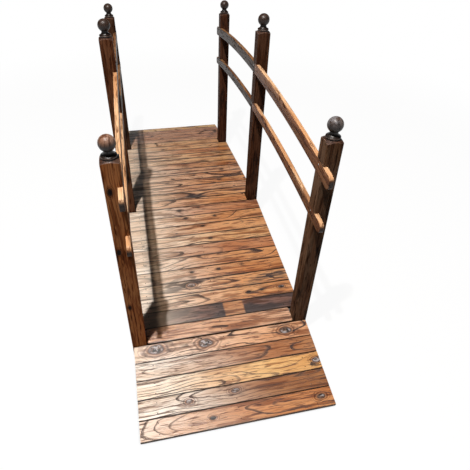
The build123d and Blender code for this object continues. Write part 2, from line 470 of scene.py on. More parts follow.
def timber_material(name, line_strength, relief, gloss, char_and_gap_shade=None, painted_sheen=0.0, **constants):
    """A timber finish that reads each piece's own grain direction, tone, pith and knots."""
    material, g, shader, group = surface(name, TIMBER)

    def own(label, out="Vector"):
        return g.put("ShaderNodeAttribute", attribute_name=label).outputs[out]

    for label in GRAIN_INPUTS:
        g.feed(group.inputs[label], own(label.lower().replace(" ", "_")))
    along, across = g.split(own("grain"))[:2]
    seed, scorch, contrast = g.split(own("looks"))
    clear_at, clear_half, clear_share = g.split(own("clear"))
    off = g.minus(g.math("ABSOLUTE", g.minus(along, clear_at)), clear_half)
    clear = g.times(g.spread(off, CLEAR_EDGE, -CLEAR_EDGE), clear_share)
    tone = g.mix(g.spread(along, *BOARD_TONE_ENDS), own("tone", "Color"), own("tone_right", "Color"))
    values = {
        "Seed": seed,
        "Scorch": g.times(scorch, g.minus(1.0, clear)),
        "Line Strength": g.times(contrast, line_strength),
        "Tone": g.mix(clear, tone, CLEAR_PATCH),
        "Band Scale": BAND_SCALE,
    }
    for label, value in constants.items():
        values[label.replace("_", " ").title()] = value
    for label, value in values.items():
        g.feed(group.inputs[label], value)
    colour = group.outputs["Color"]
    # Long edges darkened: burnt edges, and painted shade of the gaps between boards.
    if char_and_gap_shade:
        colour = g.mix(char_and_gap_shade(g, across), colour, CHAR)
    # Painted sheen: the left ends of deck boards are lightened towards a pale sheen colour.
    if painted_sheen:
        colour = g.mix(g.spread(along, *SHEEN_ENDS, 0.0, painted_sheen), colour, SHEEN)
    shader.inputs["Specular IOR Level"].default_value = gloss
    bump = dress_shader(g, shader, group, colour, 1.0, relief)
    bump.inputs["Filter Width"].default_value = TIMBER_BUMP_FILTER
    return material


RAMP_FINISH, NEAR_BAY_FINISH, FAR_BAY_FINISH = (
    timber_material(name, line_strength=1.50, relief=0.0010, gloss=0.90, char_and_gap_shade=edge_char_and_gap_shade(char_and_shade_reach),
                    painted_sheen=painted_sheen, ring_width=ring_width, band_scale=band_scale, wander=1.0,
                    dullness=0.30, line_colour=linear(52, 24, 10), scorch_colour=linear(50, 38, 38),
                    knot_colour=linear(176, 168, 168))
    for name, ring_width, band_scale, char_and_shade_reach, painted_sheen in (
        ("scorched_ramp_timber", 0.0110, BAND_SCALE, 0.0048, 0.0),
        ("scorched_deck_timber", 0.0140, 48.0, 0.0050, 0.36),
        ("scorched_far_deck_timber", 0.0220, 32.0, 0.0080, 0.34)))
EDGE_FINISH = timber_material(
    "charred_edge_timber", line_strength=1.0, relief=0.0008, gloss=0.10, char_and_gap_shade=lambda g, across: 0.88,
    ring_width=0.0135, wander=1.0, dullness=0.60, line_colour=linear(34, 20, 13),
    scorch_colour=linear(34, 26, 24), knot_colour=linear(60, 50, 46))
RAIL_FINISH = timber_material(
    "scorched_rail_timber", line_strength=0.9, relief=0.0005, gloss=0.20, ring_width=0.0070, wander=0.5,
    dullness=0.40, line_colour=linear(74, 44, 27), scorch_colour=linear(58, 40, 30),
    knot_colour=linear(60, 40, 30))
POST_FINISH = timber_material(
    "dark_post_timber", line_strength=1.0, relief=0.0005, gloss=0.05, ring_width=0.0080, wander=0.30,
    dullness=0.50, line_colour=linear(40, 24, 16), scorch_colour=linear(26, 18, 15),
    knot_colour=linear(28, 19, 14))
HEAD_FINISH = timber_material(
    "dark_turned_timber", line_strength=0.25, relief=0.0002, gloss=0.38, ring_width=0.0070, wander=0.30,
    dullness=0.34, line_colour=linear(20, 14, 11), scorch_colour=linear(22, 17, 15),
    knot_colour=linear(28, 19, 14))
BEARER_FINISH = timber_material(
    "bearer_timber", line_strength=1.0, relief=0.0005, gloss=0.20, ring_width=0.0070, wander=0.6,
    dullness=0.50, line_colour=linear(50, 30, 18), scorch_colour=linear(34, 25, 20),
    knot_colour=linear(60, 44, 34))


# Meshes and objects.
LAYER_FIELDS = {"FLOAT": "value", "FLOAT_VECTOR": "vector", "FLOAT_COLOR": "color"}
SMOOTH_ANGLE = math.radians(38)


def add_object(name, data):
    """A new object in the scene, at the origin."""
    thing = bpy.data.objects.new(name, data)
    bpy.context.scene.collection.objects.link(thing)
    return thing


def discard(thing):
    """Removes an object and its mesh."""
    mesh = thing.data
    bpy.data.objects.remove(thing)
    bpy.data.meshes.remove(mesh)


def write_layer(mesh, label, kind, values):
    """Writes a value on every point of a mesh, under a label that a material or a node tree reads."""
    layer = mesh.attributes.new(label, kind, "POINT")
    for item, value in zip(layer.data, values):
        setattr(item, LAYER_FIELDS[kind], value)


def plain_mesh(name, thing):
    """The object's mesh after its modifiers, on a new object; the old one is removed."""
    depsgraph = bpy.context.evaluated_depsgraph_get()
    mesh = bpy.data.meshes.new_from_object(thing.evaluated_get(depsgraph), preserve_all_data_layers=True,
                                           depsgraph=depsgraph)
    mesh.name = name
    discard(thing)
    return add_object(name, mesh)


def smooth(piece):
    """Shades a piece smooth, but for its sharp edges."""
    piece.data.polygons.foreach_set("use_smooth", [True] * len(piece.data.polygons))
    piece.data.set_sharp_from_angle(angle=SMOOTH_ANGLE)


def ring_faces(levels, count):
    """Faces between rings of count points, each ring joined to the next."""
    faces = []
    for low in range(0, (levels - 1) * count, count):
        high = low + count
        for index in range(count):
            after = (index + 1) % count
            faces.append((low + index, low + after, high + after, high + index))
    return faces


def places_mesh(name, points):
    """A mesh of loose points, one for each thing that a node tree sets in place."""
    mesh = bpy.data.meshes.new(name + "_places")
    mesh.from_pydata(points, [], [])
    return mesh


def grow(name, mesh, tree, values):
    """The piece that a geometry node tree makes from a mesh of places."""
    thing = add_object(mesh.name, mesh)
    modifier = thing.modifiers.new("grow", "NODES")
    modifier.node_group = tree
    for socket in tree.interface.items_tree:
        if socket.name in values:
            modifier[socket.identifier] = values[socket.name]
    piece = plain_mesh(name, thing)
    smooth(piece)
    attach(piece, "root")
    return piece


# How each piece of timber looks.
NO_KNOT = (0.0, 9.0, 0.0)
ALL_ALIKE = (0.0, 0.0, 0.0)
LOOK_LAYERS = {**dict.fromkeys(("pith", "knot_a", "knot_b", "knot_c", "looks", "clear"), "FLOAT_VECTOR"),
               **dict.fromkeys(("tone", "tone_right"), "FLOAT_COLOR")}


def look(tone, seed, pith, scorch, contrast, knots=(), tone_right=None, clear=ALL_ALIKE):
    """How one piece of timber looks: its tone, where its pith lay, how scorched it is, its knots."""
    knot_a, knot_b, knot_c = [*knots, NO_KNOT, NO_KNOT, NO_KNOT][:3]
    return {"tone": tone, "tone_right": tone_right or tone, "pith": pith, "looks": (seed, scorch, contrast),
            "knot_a": knot_a, "knot_b": knot_b, "knot_c": knot_c, "clear": clear}


def write_looks(mesh, looks):
    """Writes a look on every point of a mesh."""
    for label, kind in LOOK_LAYERS.items():
        write_layer(mesh, label, kind, [one[label] for one in looks])


# Deck boards, laid by a node tree from one point for each board.
BOARD_STATIONS = 81
PROFILE_CUTS = 5
ROUNDING_STEPS = 4


def board_layer():
    """Node tree that lays a board at every point, turned to the point's slope."""
    g, given, taken = named_tree(
        "lay_boards", "GeometryNodeTree",
        {"Geometry": ("Places",),
         "Float": ("Board Length", "Board Width", "Board Thickness", "Edge Rounding", "Corner Rounding",
                   "Cupping", "Unevenness"),
         "Int": ("Seed",), "Material": ("Finish", "Edge Finish")},
        {"Geometry": ("Boards",)})
    thickness, rounding, corner = given["Board Thickness"], given["Edge Rounding"], given["Corner Rounding"]
    half = g.times(given["Board Length"], 0.5)
    half_width = g.times(given["Board Width"], 0.5)
    place = g.put("GeometryNodeInputPosition").outputs[0]
    along, across, deep = g.split(place)

    # A line along the board, with its points closer together near the ends, carries the section.
    line = g.run("GeometryNodeCurvePrimitiveLine",
                 {"Start": g.join(g.times(half, -1.0), 0.0, 0.0), "End": g.join(half, 0.0, 0.0)})
    line = g.run("GeometryNodeResampleCurve", {"Curve": line, "Count": BOARD_STATIONS})
    eased = g.times(g.math("SINE", g.times(g.over(along, half), math.pi / 2)), half)
    line = g.run("GeometryNodeSetPosition", {"Geometry": line, "Position": g.join(eased, 0.0, 0.0)})
    line = g.run("GeometryNodeSetCurveNormal", {"Curve": line}, mode="Z_UP")
    profile = g.run("GeometryNodeCurvePrimitiveQuadrilateral",
                    {"Width": given["Board Width"], "Height": thickness})
    profile = g.run("GeometryNodeSubdivideCurve", {"Curve": profile, "Cuts": PROFILE_CUTS})
    profile = g.run("GeometryNodeFilletCurve", {"Curve": profile, "Radius": rounding, "Count": ROUNDING_STEPS,
                                                "Limit Radius": True}, mode="POLY")
    board = g.run("GeometryNodeCurveToMesh", {"Curve": line, "Profile Curve": profile, "Fill Caps": True})
    lowered = g.join(0.0, 0.0, g.times(thickness, -0.5))
    board = g.run("GeometryNodeTransform", {"Geometry": board, "Translation": lowered})
    board = g.run("GeometryNodeStoreNamedAttribute", {"Geometry": board, "Name": "grain", "Value": place},
                  data_type="FLOAT_VECTOR", domain="POINT")

    # The plan corners are rounded by drawing the sides in near the ends.
    past = g.least(g.minus(g.math("ABSOLUTE", along), g.minus(half, corner)), 0.0)
    drawn = g.math("SQRT", g.least(g.minus(g.times(corner, corner), g.times(past, past)), 0.0))
    kept = g.over(g.plus(g.minus(half_width, corner), drawn), half_width)
    edge_share = g.over(across, half_width)
    cup = g.times(g.times(edge_share, edge_share), g.times(given["Cupping"], -1.0))
    shaped = g.join(along, g.times(across, kept), g.plus(deep, cup))
    board = g.run("GeometryNodeSetPosition", {"Geometry": board, "Position": shaped})

    # Each board lies a little uneven, and its sides have a finish of their own.
    slope = g.run("GeometryNodeInputNamedAttribute", {"Name": "slope"}, data_type="FLOAT")
    chance = g.run("FunctionNodeRandomValue", {"Seed": given["Seed"]}, 1, data_type="FLOAT")
    uneven = g.times(g.minus(g.times(chance, 2.0), 1.0), given["Unevenness"])
    laid = g.run("GeometryNodeInstanceOnPoints", {"Points": given["Places"], "Instance": board,
                                                  "Rotation": g.join(g.plus(slope, uneven), 0.0, 0.0)})
    laid = g.run("GeometryNodeRealizeInstances", {"Geometry": laid})
    laid = g.run("GeometryNodeSetMaterial", {"Geometry": laid, "Material": given["Finish"]})
    grain = g.run("GeometryNodeInputNamedAttribute", {"Name": "grain"}, data_type="FLOAT_VECTOR")
    on_side = g.math("LESS_THAN", g.split(grain)[2], g.times(rounding, -1.05))
    laid = g.run("GeometryNodeSetMaterial",
                 {"Geometry": laid, "Selection": on_side, "Material": given["Edge Finish"]})
    g.feed(taken["Boards"], laid)
    return g.tree


BOARD_TREE = board_layer()
nail_places = []


def lay_boards(name, places, looks, length, width, corner, nodes, finish):
    """One piece for a run of boards; places are (y, z, slope). A pair of nails goes over every bearer."""
    for y, z, slope in places:
        for x in NAIL_LINES:
            for share in NAIL_OFF_SHARES:
                off = share * width
                position = (x, y + off * math.cos(slope), z + off * math.sin(slope))
                nail_places.append((position, (slope, 0.0, 0.0)))
    mesh = places_mesh(name, [(0.0, y, z) for y, z, slope in places])
    write_layer(mesh, "slope", "FLOAT", [slope for y, z, slope in places])
    write_looks(mesh, looks)
    piece = grow(name, mesh, BOARD_TREE, {
        "Board Length": length, "Board Width": width, "Board Thickness": BOARD_THICKNESS,
        "Edge Rounding": BOARD_EDGE_ROUNDING, "Corner Rounding": corner, "Cupping": BOARD_CUPPING,
        "Unevenness": BOARD_UNEVENNESS, "Seed": 7, "Finish": finish, "Edge Finish": EDGE_FINISH})
    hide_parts(*nodes)


def rising_line(first, bend, angle):
    """A rising line of boards, stopped short of its bend by as much as the boards' lower edges lean over."""
    lean = BOARD_THICKNESS * math.sin(angle)
    return first, (bend[0] - lean, bend[1] - lean * math.tan(angle))


def line_places(line, count, side):
    """Middles of count boards spread along a line, mirrored by side, and the boards' width."""
    (y0, z0), (y1, z1) = line
    slope = math.atan2(z1 - z0, y1 - y0)
    pitch = math.hypot(y1 - y0, z1 - z0) / count
    shares = [(index + 0.5) / count for index in range(count)]
    places = [(side * (y0 + (y1 - y0) * s), z0 + (z1 - z0) * s, side * slope) for s in shares]
    return places, pitch - BOARD_GAP


RAMP_LINE = rising_line((-DECK_END_Y, RAMP_END_HEIGHT), (-POST_FACE_Y, RAMP_TOP), RAMP_ANGLE)
BAY_LINE = rising_line((-POST_FACE_Y, RAMP_TOP), (-RIDGE_HALF_RUN, RIDGE_TOP), BAY_ANGLE)

dice = random.Random(41)


def board_look(tone, sheen_share, seed, pith, scorch, contrast, knots=(), clear=ALL_ALIKE):
    """A look for a deck board, painted paler towards its left end as a painted sheen of the lamp's highlight.
    """
    return look(blend(tone, PAINTED_SHEEN_TONE, sheen_share), seed, pith, scorch, contrast, knots, tone, clear)


def dealt_look(low, high, tones=(TAN, STRAW, GOLD, ORANGE, PINK, RUSSET), scorch=(0.14, 0.40)):
    """A look for a board that has none of its own, with its share of painted sheen between low and high."""
    tone = dice.choice(tones)
    pith = (dice.uniform(-0.05, 0.05), dice.uniform(0.02, 0.09), dice.uniform(-0.05, 0.05))
    knots = [(dice.uniform(-0.36, 0.36), dice.uniform(-0.026, 0.026), dice.uniform(0.004, 0.010))
             for _ in range(dice.choice((0, 1, 2, 2, 3)))]
    sheen_share = dice.uniform(low, high)
    seed = dice.uniform(0, 40)
    return board_look(tone, sheen_share, seed, pith, dice.uniform(*scorch), 1.0, knots)


# Boards whose looks were chosen one by one, from the near end on; knots are (along, across, size).
near_ramp_looks = [
    board_look(ORANGE, 0.55, 3.1, (0.004, 0.020, -0.120), 0.30, 0.7,
               [(0.350, 0.004, 0.013), (-0.110, 0.000, 0.0085)]),
    board_look(linear(180, 126, 82), 0.95, 31.6, (0.020, 0.050, -0.030), 0.38, 1.3,
               [(-0.193, 0.002, 0.013), (0.000, 0.012, 0.012)]),
    board_look(GOLD, 0.85, 5.7, (-0.012, 0.018, 0.060), 0.16, 1.0, [(0.385, 0.000, 0.014)]),
    board_look(BROWN, 0.88, 11.9, (0.000, 0.012, 0.090), 0.36, 1.0),
    board_look(linear(248, 196, 154), 0.70, 17.3, (0.004, 0.034, 0.040), 0.24, 1.0,
               [(-0.305, 0.010, 0.026), (-0.085, 0.002, 0.026), (0.290, 0.004, 0.022)]),
]
near_bay_looks = [
    board_look(DARK, 0.05, 21.2, (0.02, 0.03, 0.02), 0.66, 0.8, clear=(0.082, 0.047, 1.0)),
    board_look(TAN, 0.80, 26.8, (0.0, 0.02, 0.03), 0.24, 1.0,
               [(0.176, 0.0, 0.009), (0.242, 0.002, 0.008), (0.344, 0.004, 0.012)]),
    board_look(TAN, 0.85, 29.5, (0.01, 0.02, -0.04), 0.55, 1.0, [(-0.1, 0.01, 0.016)]),
]
near_bay_looks += [dealt_look(0.7, 0.95) for _ in range(BAY_BOARDS - len(near_bay_looks))]
looks_by_run = {
    "near_ramp": near_ramp_looks,
    "near_bay": near_bay_looks,
    "near_post": [board_look(linear(236, 190, 156), 0.05, 14.6, (0.0, 0.022, 0.03), 0.36, 1.0)],
    "middle_post": [dealt_look(0.6, 0.8)],
    "far_post": [dealt_look(0.3, 0.5)],
    "far_bay": [dealt_look(0.5, 0.8, (TAN, ORANGE, RUSSET, STRAW, PINK), (0.30, 0.50))
                for _ in range(BAY_BOARDS)],
    "far_ramp": [dealt_look(0.1, 0.3) for _ in range(RAMP_BOARDS)],
}

for end, side, finish in (("near", 1, NEAR_BAY_FINISH), ("far", -1, FAR_BAY_FINISH)):
    places, width = line_places(RAMP_LINE, RAMP_BOARDS, side)
    lay_boards(end + "_ramp_planks", places, looks_by_run[end + "_ramp"], DECK_WIDTH, width, 0.0,
               [end + "_ramp_boards"], RAMP_FINISH)
    places, width = line_places(BAY_LINE, BAY_BOARDS + 1, side)
    lay_boards(end + "_post_plank", places[:1], looks_by_run[end + "_post"], SHORT_BOARD_LENGTH, width,
               SHORT_BOARD_CORNER, [end + "_post_board"], RAMP_FINISH)
    lay_boards(end + "_bay_planks", places[1:], looks_by_run[end + "_bay"], DECK_WIDTH, width, 0.0,
               [f"{end}_bay_board_{number}" for number in range(1, BAY_BOARDS + 1)], finish)
lay_boards("middle_post_plank", [(0.0, RIDGE_TOP, 0.0)], looks_by_run["middle_post"], SHORT_BOARD_LENGTH,
           ROW_RUN - BOARD_GAP, SHORT_BOARD_CORNER, ["middle_post_board"], NEAR_BAY_FINISH)


# Timbers sawn to a side outline: bearers and rails.
ARRIS_STEPS = 3
ARCH_STEPS = 48
RAIL_STEPS = 40
RAIL_END_TOP_STEPS = 10
RAIL_END_BOTTOM_STEPS = 6
NOTCH_STEPS = 12


def arc_points(centre, radius, start, end, count):
    """Points on an arc, from one angle to another, in degrees."""
    steps = [math.radians(start + (end - start) * index / count) for index in range(count + 1)]
    return [(centre[0] + radius * math.cos(a), centre[1] + radius * math.sin(a)) for a in steps]


def side_block(outline, x_low, x_high):
    """A body with a side outline of (y, z) points, drawn out from x_low to x_high."""
    body = bmesh.new()
    face = body.faces.new([body.verts.new((x_low, y, z)) for y, z in outline])
    grown = bmesh.ops.extrude_face_region(body, geom=[face])
    moved = [item for item in grown["geom"] if isinstance(item, bmesh.types.BMVert)]
    bmesh.ops.translate(body, verts=moved, vec=(x_high - x_low, 0.0, 0.0))
    bmesh.ops.recalc_face_normals(body, faces=body.faces)
    return body


def body_object(name, body):
    """A new object with the body as its mesh."""
    mesh = bpy.data.meshes.new(name)
    body.to_mesh(mesh)
    body.free()
    return add_object(name, mesh)


def finish_timber(piece, nodes, timber_look, grain_of, tone_of):
    """Gives a timber its grain, its look with a tone for each point, and its place in the frame."""
    mesh = piece.data
    tones = [tone_of(vertex) for vertex in mesh.vertices]
    write_layer(mesh, "grain", "FLOAT_VECTOR", [grain_of(vertex.co) for vertex in mesh.vertices])
    write_looks(mesh, [{**timber_look, "tone": tone, "tone_right": tone} for tone in tones])
    smooth(piece)
    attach(piece, "root")
    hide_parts(*nodes)


def sawn_timber(name, outline, x_low, thickness, arris, finish, nodes, timber_look, grain_of, tone_of):
    """A timber with a side outline of (y, z) points and eased edges."""
    body = side_block(outline, x_low, x_low + thickness)
    rims = [edge for edge in body.edges if abs(edge.verts[0].co.x - edge.verts[1].co.x) < thickness / 2]
    bmesh.ops.bevel(body, geom=rims, offset=arris, segments=ARRIS_STEPS, profile=0.5, affect="EDGES",
                    clamp_overlap=True)
    bmesh.ops.recalc_face_normals(body, faces=body.faces)
    piece = body_object(name, body)
    piece.data.materials.append(finish)
    finish_timber(piece, nodes, timber_look, grain_of, tone_of)


def under_bend(y, z, before, after):
    """Point under a bend of the deck where the undersides of the boards on both sides would meet."""
    mean = (before + after) / 2
    drop = BOARD_THICKNESS / math.cos((before - after) / 2)
    return (y + drop * math.sin(mean), z - drop * math.cos(mean))


def bearer_outline():
    """Side outline of a bearer: feet, the deck's underside and the arch."""
    tip_y = -DECK_END_Y + BEARER_TIP_INSET
    tip_top = deck_top(tip_y) - BOARD_THICKNESS / math.cos(RAMP_ANGLE)
    near_top = [(tip_y, 0.0), (tip_y, tip_top), under_bend(-POST_FACE_Y, RAMP_TOP, RAMP_ANGLE, BAY_ANGLE),
                under_bend(-RIDGE_HALF_RUN, RIDGE_TOP, BAY_ANGLE, 0.0)]
    radius = (ARCH_HALF_SPAN ** 2 + ARCH_RISE ** 2) / (2 * ARCH_RISE)
    half_angle = math.degrees(math.asin(ARCH_HALF_SPAN / radius))
    arch = arc_points((0.0, ARCH_RISE - radius), radius, 90 - half_angle, 90 + half_angle, ARCH_STEPS)
    return near_top + [(-y, z) for y, z in reversed(near_top)] + arch


BEARER_TONE = linear(122, 82, 54)
BEARER_GRAIN_HEIGHT = 0.07
for label, x_low, seed in (("left", -POST_INNER_X, 2.0), ("centre", -BEARER_THICKNESS / 2, 6.0),
                           ("right", POST_INNER_X - BEARER_THICKNESS, 9.0)):
    sawn_timber(label + "_bearer_timber", bearer_outline(), x_low, BEARER_THICKNESS, BEARER_ARRIS,
                BEARER_FINISH, [label + "_bearer"],
                look(BEARER_TONE, seed, (0.02, 0.03, 0.01), 0.40, 0.8),
                lambda at, x0=x_low: (at.y, at.z - BEARER_GRAIN_HEIGHT, at.x - x0),
                lambda vertex: BEARER_TONE)


def rail_centre(above_deck):
    """Centre of a rail's arc in the side view, far below the middle of the bridge."""
    return (0.0, deck_top(0) + above_deck - RAIL_RADIUS)


def rail_height(y, above_deck, inset=0.0):
    """Height at y of a rail's top edge, or of a line that runs inset below it."""
    return rail_centre(above_deck)[1] + math.sqrt((RAIL_RADIUS - inset) ** 2 - y ** 2)


def rail_arc(above_deck, inset, y_first, y_last, count):
    """Points along a rail between two distances, on the line that runs inset below its top edge."""
    radius = RAIL_RADIUS - inset
    first, last = (math.degrees(math.acos(y / radius)) for y in (y_first, y_last))
    return arc_points(rail_centre(above_deck), radius, first, last, count)


def rail_outline(above_deck, depth):
    """Side outline of the near half of a rail, with its rounded outer end."""
    end = -POST_FACE_Y - RAIL_OVERHANG
    middle = -RAIL_JOINT_GAP / 2
    high, low = RAIL_END_TOP_RADIUS, RAIL_END_BOTTOM_RADIUS
    top_centre = (end + high, rail_height(end + high, above_deck, high))
    bottom_centre = (end + low, rail_height(end + low, above_deck, depth - low))
    hub_z = rail_centre(above_deck)[1]
    top_turn, bottom_turn = (math.degrees(math.atan2(z - hub_z, y)) for y, z in (top_centre, bottom_centre))
    top_start = top_centre[0] + high * math.cos(math.radians(top_turn))
    bottom_start = bottom_centre[0] - low * math.cos(math.radians(bottom_turn))
    outline = rail_arc(above_deck, 0.0, middle, top_start, RAIL_STEPS)[:-1]
    outline += arc_points(top_centre, high, top_turn, 180, RAIL_END_TOP_STEPS)
    outline += arc_points(bottom_centre, low, 180, 180 + bottom_turn, RAIL_END_BOTTOM_STEPS)
    return outline + rail_arc(above_deck, depth, bottom_start, middle, RAIL_STEPS)[1:]


# Rail tones: the tops are painted paler as painted light, the lower parts of the rounded ends darker as
# painted shade, and the far rails darker than the near ones as painted shade.
RAIL_SIDES = {"near": linear(148, 104, 72), "far": linear(70, 54, 42)}
RAIL_LIT_TOPS = {"near": linear(234, 192, 150), "far": linear(160, 122, 86)}
RAIL_END = linear(64, 56, 52)


def rail_lit_and_shaded_tone(vertex, end):
    """Rails are painted paler on top as painted light, brown on the sides, and darker on the lower part of
    the rounded ends as painted shade.
    """
    tone = blend(RAIL_SIDES[end], RAIL_LIT_TOPS[end], step(vertex.normal.z, 0.25, 0.85))
    return blend(tone, RAIL_END, step(abs(vertex.normal.y), 0.45, 0.95) * step(vertex.normal.z, 0.7, 0.2))


rail_dice = random.Random(12)
for level, (above_deck, depth) in RAIL_LEVELS.items():
    for end, y_sign in (("near", 1), ("far", -1)):
        for hand, x_low in (("right", POST_INNER_X), ("left", -POST_INNER_X - RAIL_THICKNESS)):
            seed = rail_dice.uniform(0, 40)
            pith = (rail_dice.uniform(-0.03, 0.03), 0.02, 0.02)

            def rail_grain(at, above=above_deck, middle=depth / 2, x0=x_low):
                return (at.y, at.z - rail_height(at.y, above, middle), at.x - x0)

            sawn_timber(f"{level}_handrail_{end}_{hand}",
                        [(y * y_sign, z) for y, z in rail_outline(above_deck, depth)], x_low, RAIL_THICKNESS,
                        RAIL_ARRIS, RAIL_FINISH, [f"{level}_rail_{end}_{hand}"],
                        look(RAIL_SIDES[end], seed, pith, 0.36, 0.9), rail_grain,
                        lambda vertex, e=end: rail_lit_and_shaded_tone(vertex, e))


# Posts: a square shaft turned at the top, with notches for the rails.
FLAT_STEPS = 10
CORNER_STEPS = 6
BEAD_STEPS = 8
NECK_STEPS = 10
BALL_STEPS = 26
BALL_LAST_RING = 88


def post_section():
    """Points round the square section with its eased corners."""
    inner = POST_WIDTH / 2 - POST_ARRIS
    points = []
    for turn in (0, 90, 180, 270):
        centre_angle = math.radians(turn + 45)
        reach = inner * math.sqrt(2)
        centre = (reach * math.cos(centre_angle), reach * math.sin(centre_angle))
        points += arc_points(centre, POST_ARRIS, turn, turn + 90, CORNER_STEPS)
        first = points[-1]
        angle = math.radians(turn + 90)
        for index in range(1, FLAT_STEPS):
            off = 2 * inner * index / FLAT_STEPS
            points.append((first[0] - math.sin(angle) * off, first[1] + math.cos(angle) * off))
    return points


SECTION = post_section()


def three_point_arc(a, b, c, count):
    """Points on the circle through a, b and c, from a to c."""
    ax, ay = a
    bx, by = b[0] - ax, b[1] - ay
    cx, cy = c[0] - ax, c[1] - ay
    d = 2 * (bx * cy - by * cx)
    ux = (cy * (bx * bx + by * by) - by * (cx * cx + cy * cy)) / d
    uy = (bx * (cx * cx + cy * cy) - cx * (bx * bx + by * by)) / d
    centre = (ax + ux, ay + uy)
    first, through, last = (math.degrees(math.atan2(y - centre[1], x - centre[0])) for x, y in (a, b, c))
    sweep = (last - first + 180) % 360 - 180
    if (through - first) * sweep < 0:
        sweep = sweep - math.copysign(360, sweep)
    return arc_points(centre, math.hypot(ux, uy), first, first + sweep, count)


def turned_rings(bottom, ball_z):
    """Rings of the post from its foot to the top of the ball: each a list of (x, y, z)."""
    neck_z = ball_z - math.sqrt(BALL_RADIUS ** 2 - NECK_RADIUS ** 2)
    bead_top = ball_z - BEAD_BELOW_BALL
    bead_bottom = bead_top - BEAD_HEIGHT
    bead_edge = BEAD_RADIUS - BEAD_HEIGHT / 4
    groove_bottom = bead_bottom - GROOVE_HEIGHT
    reaches = [math.hypot(x, y) for x, y in SECTION]
    shoulder = [groove_bottom - (reach - GROOVE_RADIUS) * SHOULDER_FALL for reach in reaches]
    rings = [[(x, y, bottom) for x, y in SECTION]]
    for drop in (SHOULDER_EDGE_DROP, 0.0):
        rings.append([(x, y, z - drop) for (x, y), z in zip(SECTION, shoulder)])
    inner = [1 - SHOULDER_EDGE_EASE / reach for reach in reaches]
    rings.append([(x * s, y * s, z + SHOULDER_EDGE_EASE * SHOULDER_FALL)
                  for (x, y), z, s in zip(SECTION, shoulder, inner)])

    # From the groove up the rings are round: groove, bead, hollow neck and ball, each (radius, height).
    bulge = (bead_edge - NECK_RADIUS) / 4
    hollow = ((NECK_RADIUS + bead_edge) / 2 - bulge, (neck_z + bead_top) / 2 - bulge)
    start = math.degrees(math.atan2(neck_z - ball_z, NECK_RADIUS))
    rounds = [(GROOVE_RADIUS + GROOVE_EDGE_EASE, groove_bottom - GROOVE_EDGE_EASE * SHOULDER_FALL),
              (GROOVE_RADIUS, groove_bottom), (GROOVE_RADIUS, bead_bottom)]
    rounds += three_point_arc((bead_edge, bead_bottom), (BEAD_RADIUS, (bead_top + bead_bottom) / 2),
                              (bead_edge, bead_top), BEAD_STEPS)
    rounds += three_point_arc((bead_edge, bead_top), hollow, (NECK_RADIUS, neck_z), NECK_STEPS)[1:]
    rounds += arc_points((0.0, ball_z), BALL_RADIUS, start, BALL_LAST_RING, BALL_STEPS)[1:]
    for radius, z in rounds:
        rings.append([(x * radius / reach, y * radius / reach, z) for (x, y), reach in zip(SECTION, reaches)])
    return rings


ARRIS_HIGHLIGHT_TONE = linear(150, 118, 102)
SHOULDER_TONE = linear(78, 56, 46)
GROOVE_SHADE_TONE = linear(15, 10, 8)
RIM_HIGHLIGHT_TONE = linear(120, 106, 100)
NECK_SHADE_TONE = linear(36, 25, 20)
PLAIN_BALL_TONE = linear(76, 63, 57)
# Top tones of the balls, which their painted light runs up to; the near right ball's blue-grey is a painted
# reflection.
BALL_TONES = {"near_left": linear(156, 126, 110), "near_right": linear(122, 120, 124)}
POST_TONES = {"near_left": linear(190, 128, 82), "near_right": linear(120, 94, 74),
              "middle_left": linear(112, 76, 54), "middle_right": linear(86, 58, 42),
              "far_left": linear(80, 58, 44), "far_right": linear(86, 58, 44)}
POST_KNOTS = {"near_left": [(0.9165, -0.0126, 0.009), (0.6532, -0.0178, 0.009), (0.3477, -0.0139, 0.007)]}
POST_SCORCHES = {"near_left": 0.30}
PLAIN_POST_SCORCH = 0.48


def head_tone(at, shaft_tone, ball_tone):
    """Tone of a post at a place measured from the ball's middle, from the shaft up to the ball, with painted
    shade in the groove, on the neck and on the ball's lower half, and painted highlights on the shoulder's
    edge, the bead's rim and the ball's top.
    """
    radius = math.hypot(at.x, at.y)
    bead_middle = -BEAD_BELOW_BALL - BEAD_HEIGHT / 2
    if at.z < -GROOVE_BELOW_BALL + TONE_MARGIN:
        if radius < GROOVE_RADIUS + GROOVE_TONE_REACH:
            # Painted shade in the groove.
            return GROOVE_SHADE_TONE
        if at.z < -GROOVE_BELOW_BALL - (radius - GROOVE_RADIUS) * SHOULDER_FALL - SHOULDER_EDGE_DROP / 2:
            return shaft_tone
        on_edge = max(abs(at.x), abs(at.y)) > POST_WIDTH / 2 - SHOULDER_EDGE_EASE / 2
        on_corner = radius > POST_WIDTH / math.sqrt(2) - POST_ARRIS * 0.6
        # Painted highlight along the shoulder's outer edge.
        return ARRIS_HIGHLIGHT_TONE if on_edge or on_corner else SHOULDER_TONE
    if at.z < bead_middle - BEAD_HEIGHT * 0.45:
        # Painted shade in the groove under the bead.
        return GROOVE_SHADE_TONE
    if at.z < -BEAD_BELOW_BALL:
        off_rim = step(abs(at.z - bead_middle), BEAD_HEIGHT * 0.05, BEAD_HEIGHT * 0.35)
        # Painted highlight on the bead's rim, with painted shade above and below it.
        return blend(RIM_HIGHLIGHT_TONE, NECK_SHADE_TONE, off_rim)
    # Neck and ball: near-black below as painted shade, paler towards the top as painted light.
    return blend(NECK_SHADE_TONE, ball_tone, step(at.z, -0.3 * BALL_RADIUS, 0.8 * BALL_RADIUS))


def notch_block(above_deck, depth, x_sign, y):
    """Cutter for a rail's housing in the post at y."""
    span = (y - POST_WIDTH, y + POST_WIDTH)
    outline = rail_arc(above_deck, -RAIL_CLEARANCE, *span, NOTCH_STEPS)
    outline += reversed(rail_arc(above_deck, depth + RAIL_CLEARANCE, *span, NOTCH_STEPS))
    low, high = sorted(x_sign * (POST_INNER_X + off) for off in (-RAIL_THICKNESS, RAIL_THICKNESS))
    return body_object("notch", side_block(outline, low, high))


